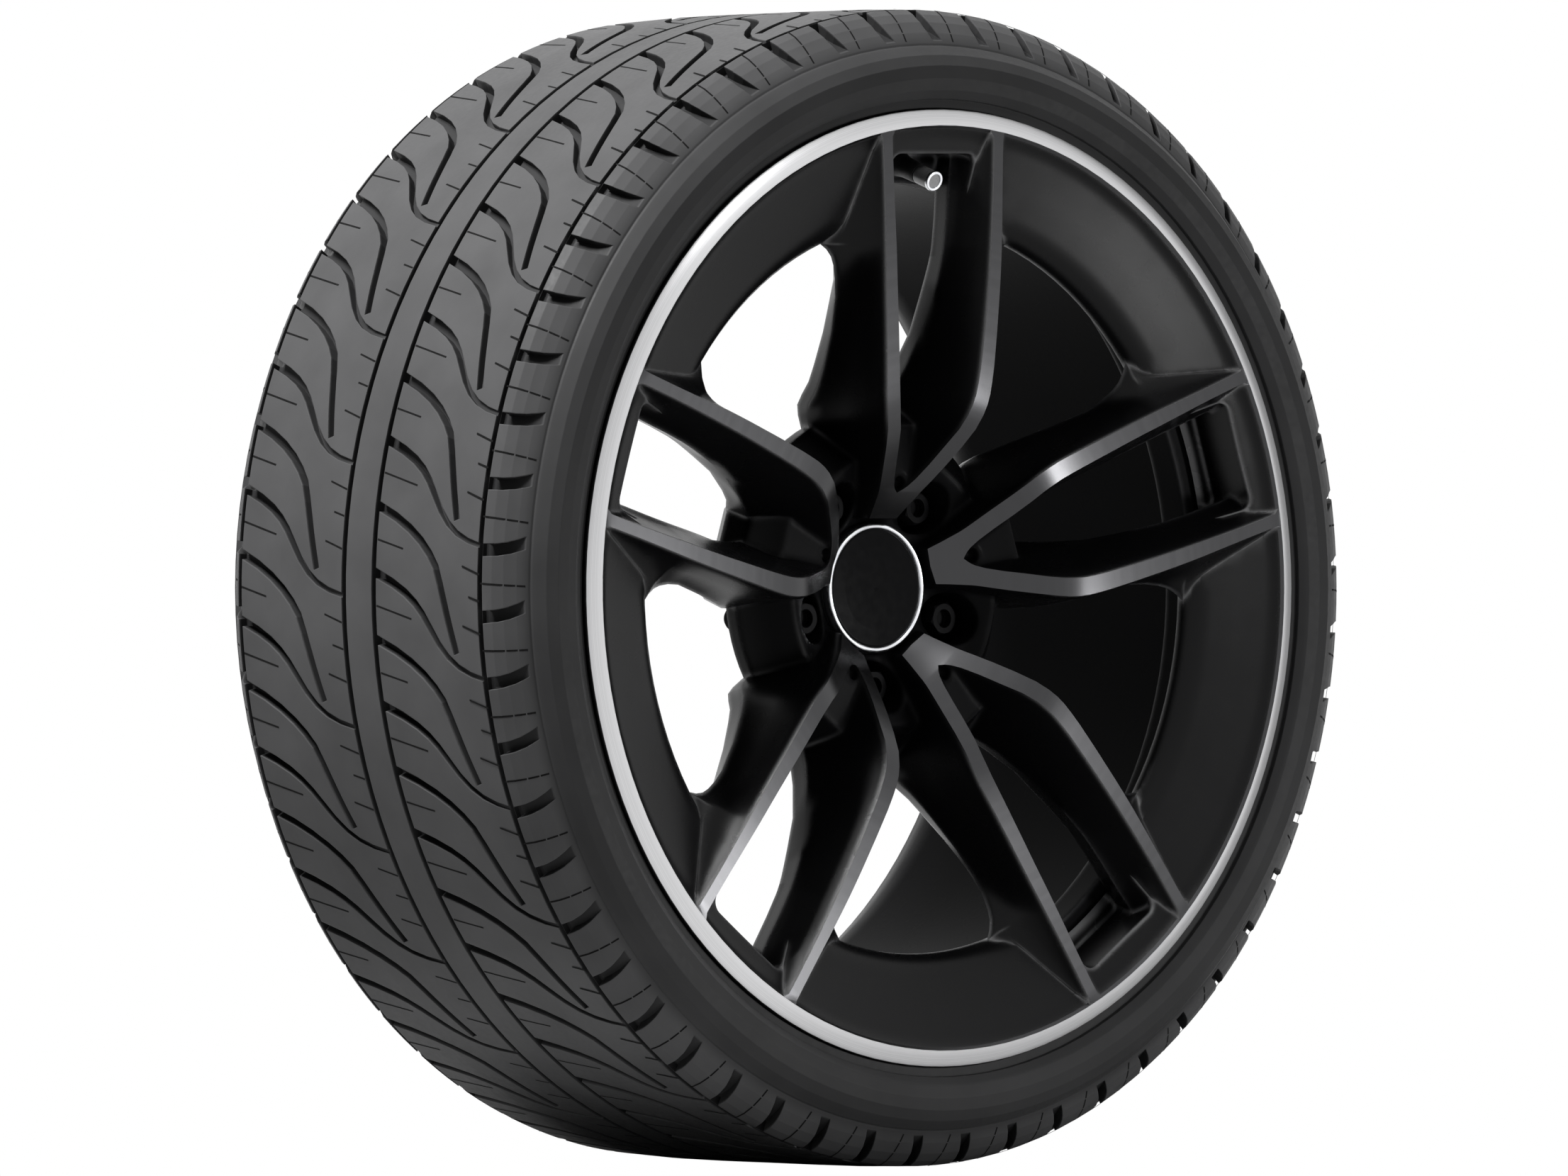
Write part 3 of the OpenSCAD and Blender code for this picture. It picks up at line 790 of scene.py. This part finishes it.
@dataclass
class Sipes:
    """Narrow slits of the tread, drawn as near-black strips of painted shade inlaid along its own surface.
    """

    pitches: int = 27
    width: float = 1.05
    skin: float = 0.15
    # each band's border, as depth behind the lip, and the turn of its first pitch
    bands: tuple = ((235.4, 0.044), (116.9, 4.824))
    # the slits of one band and pitch: depth before the border and distance round the tyre, of both ends
    band_slits: tuple = (
        ((0.4, -18.5), (30.1, -26.2)), ((0.4, 19.2), (22.5, 13.8)), ((88.2, -34.8), (73.6, -30.1)),
        ((88.2, -16.1), (79.2, -13.6)), ((88.2, -0.85), (73.6, 3.9))
    )
    band_cuts: int = 5
    # the slits of the shoulders: far end, turn, border and number of pieces
    shoulder_slits: tuple = (((18.5, -1.5), 253.78, 27.8, 9), ((-13, 1.5), 267.46, 239.5, 7))

    def slit(
        self, bm: bmesh.types.BMesh, ends: tuple[tuple, tuple], turn_deg: float, border: float, cuts: int
    ) -> None:
        """Adds one slit that follows the tyre's surface.

        Args:
            bm: The bmesh that takes it.
            ends: For both ends, depth before the border and distance round the tyre, in millimetres.
            turn_deg: Where distance zero lies, clockwise from the top.
            border: Depth of the border behind the lip.
            cuts: Number of pieces along it.
        """
        start, end = ends
        made = bmesh.ops.create_grid(bm, x_segments=cuts, y_segments=1, size=0.5)
        long = math.dist(start, end)
        side = ((start[1] - end[1]) / long, (end[0] - start[0]) / long)
        for vert in made["verts"]:
            along, across = vert.co.x + 0.5, vert.co.y * self.width
            before = start[0] + (end[0] - start[0]) * along + side[0] * across
            round_it = start[1] + (end[1] - start[1]) * along + side[1] * across
            depth = border - before
            radius = read_off(CROWN, depth) + self.skin
            turn = math.radians(turn_deg) + round_it / radius
            vert.co = Vector((radius * math.sin(turn), depth + LIP_Y / MM, radius * math.cos(turn))) * MM

    def build(self) -> None:
        """Builds all slits of one pitch and repeats them round the tyre."""
        bm = bmesh.new()
        pitch = 360 / self.pitches
        for border, turn in self.bands:
            for ends in self.band_slits:
                self.slit(bm, ends, turn, border, self.band_cuts)
        for half in (0.0, pitch / 2):
            for far, turn, border, cuts in self.shoulder_slits:
                self.slit(bm, ((0, 0), far), turn + pitch / 4 + half, border, cuts)
        bmesh.ops.spin(
            bm, geom=bm.verts[:] + bm.edges[:] + bm.faces[:], cent=(0, 0, 0), axis=(0, 1, 0), dvec=(0, 0, 0),
            angle=math.tau * (self.pitches - 1) / self.pitches, steps=self.pitches - 1, use_duplicate=True
        )
        for face in bm.faces:
            middle = face.calc_center_median()
            if face.normal.dot(Vector((middle.x, 0.0, middle.z))) < 0:
                face.normal_flip()
        settle(bm, "tread_slits", Coat.SIPE)


@dataclass
class CoreSpring:
    """The coil spring of the valve core, which shortens as the pin is pressed."""

    press: tuple = (0.0, 0.94776841, 0.31895931)
    travel: float = 0.0012

    def build(self) -> None:
        """Builds the spring."""
        bm = merged("valve_spring")
        piece = settle(bm, "core_spring", Coat.WIRE)
        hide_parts("valve_spring")
        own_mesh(piece)


@dataclass(frozen=True)
class Lamp:
    """One soft square lamp that looks at the wheel, with its size in metres."""

    name: str
    place: tuple
    size: float
    watts: float

    def hang(self) -> None:
        """Hangs the lamp."""
        light = bpy.data.lights.new(self.name, "AREA")
        light.shape = "SQUARE"
        light.size = self.size
        light.energy = self.watts
        lamp = placed(self.name, light)
        lamp.location = self.place
        lamp.rotation_euler = (-Vector(self.place)).to_track_quat("-Z", "Y").to_euler()


@dataclass
class Studio:
    """Camera, floor and plain soft light."""

    turn_deg: float = 42.56
    span: float = 0.8895
    shift: float = 0.00109
    far: float = 3.0
    sight: float = 20.0
    floor_half: float = 0.75
    floor_gap: float = 0.0005
    world_lit: float = 0.05
    lamps: tuple = (
        Lamp("key", (-1.85, 0.1, 2.65), 1.1, 250.0),
        Lamp("front", (0.7, -1.34, -0.2), 0.3, 7.5),
        Lamp("top", (0.2, -1.9, 2.2), 0.7, 10.0),
    )

    def camera(self) -> None:
        """Places the parallel camera at the photograph's angle."""
        turn = math.radians(self.turn_deg)
        back = Vector((-math.sin(turn), -math.cos(turn), 0.0))
        right = Vector((math.cos(turn), -math.sin(turn), 0.0))
        lens = bpy.data.cameras.new("camera")
        lens.type = "ORTHO"
        lens.ortho_scale = self.span
        lens.clip_end = self.sight
        camera = placed("camera", lens)
        camera.location = right * self.shift + back * self.far
        camera.rotation_euler = (-back).to_track_quat("-Z", "Y").to_euler()
        bpy.context.scene.camera = camera

    def floor(self) -> None:
        """Lays the floor under the tyre."""
        bm = bmesh.new()
        bmesh.ops.create_grid(bm, x_segments=2, y_segments=2, size=self.floor_half)
        bmesh.ops.translate(bm, verts=bm.verts, vec=(0.0, 0.0, cad_box[0][2] - self.floor_gap))
        shaped(bm, "floor", Coat.FLOOR)

    def world(self) -> None:
        """Fills the surroundings with white, seen in full only by camera, mirror and clear rays."""
        world = bpy.data.worlds.new("studio")
        bpy.context.scene.world = world
        world.use_nodes = True
        tree = world.node_tree
        shade = tree.nodes["Background"]
        path = tree.nodes.new("ShaderNodeLightPath")
        seen = path.outputs["Is Camera Ray"]
        for ray in ("Is Glossy Ray", "Is Transmission Ray"):
            either = tree.nodes.new("ShaderNodeMath")
            either.operation = "MAXIMUM"
            tree.links.new(seen, either.inputs[0])
            tree.links.new(path.outputs[ray], either.inputs[1])
            seen = either.outputs[0]
        level = tree.nodes.new("ShaderNodeMapRange")
        level.inputs["To Min"].default_value = self.world_lit
        level.inputs["To Max"].default_value = 1.0
        tree.links.new(seen, level.inputs["Value"])
        tree.links.new(level.outputs["Result"], shade.inputs["Strength"])
        shade.inputs["Color"].default_value = (1.0, 1.0, 1.0, 1.0)

    def build(self) -> None:
        """Sets up the whole studio."""
        self.camera()
        self.floor()
        self.world()
        for lamp in self.lamps:
            lamp.hang()
        bpy.context.scene.view_settings.view_transform = "Standard"


def main() -> None:
    """Builds the wheel's looks in order."""
    logging.basicConfig(level=logging.INFO, format="%(message)s")
    Casting().build()
    dress("tyre", Coat.RUBBER)
    Sipes().build()
    CoreSpring().build()
    for number in range(1, 6):
        dress(f"wheel_bolt_{number}", Coat.BOLT)
    for node, coat in {
        "cap_body": Coat.PLASTIC, "cap_ring": Coat.CHROME, "cap_disc": Coat.DISC, "cap_spring": Coat.WIRE,
        "valve_body": Coat.VALVE, "valve_stem": Coat.BRASS, "valve_core": Coat.BRASS,
        "valve_core_seal": Coat.SEAL, "valve_pin": Coat.BRASS, "valve_cap": Coat.VALVE_CAP,
        "valve_cap_ring": Coat.CHROME, "valve_cap_seal": Coat.VALVE,
    }.items():
        dress(node, coat)
    Studio().build()


if __name__ == "__main__":
    main()
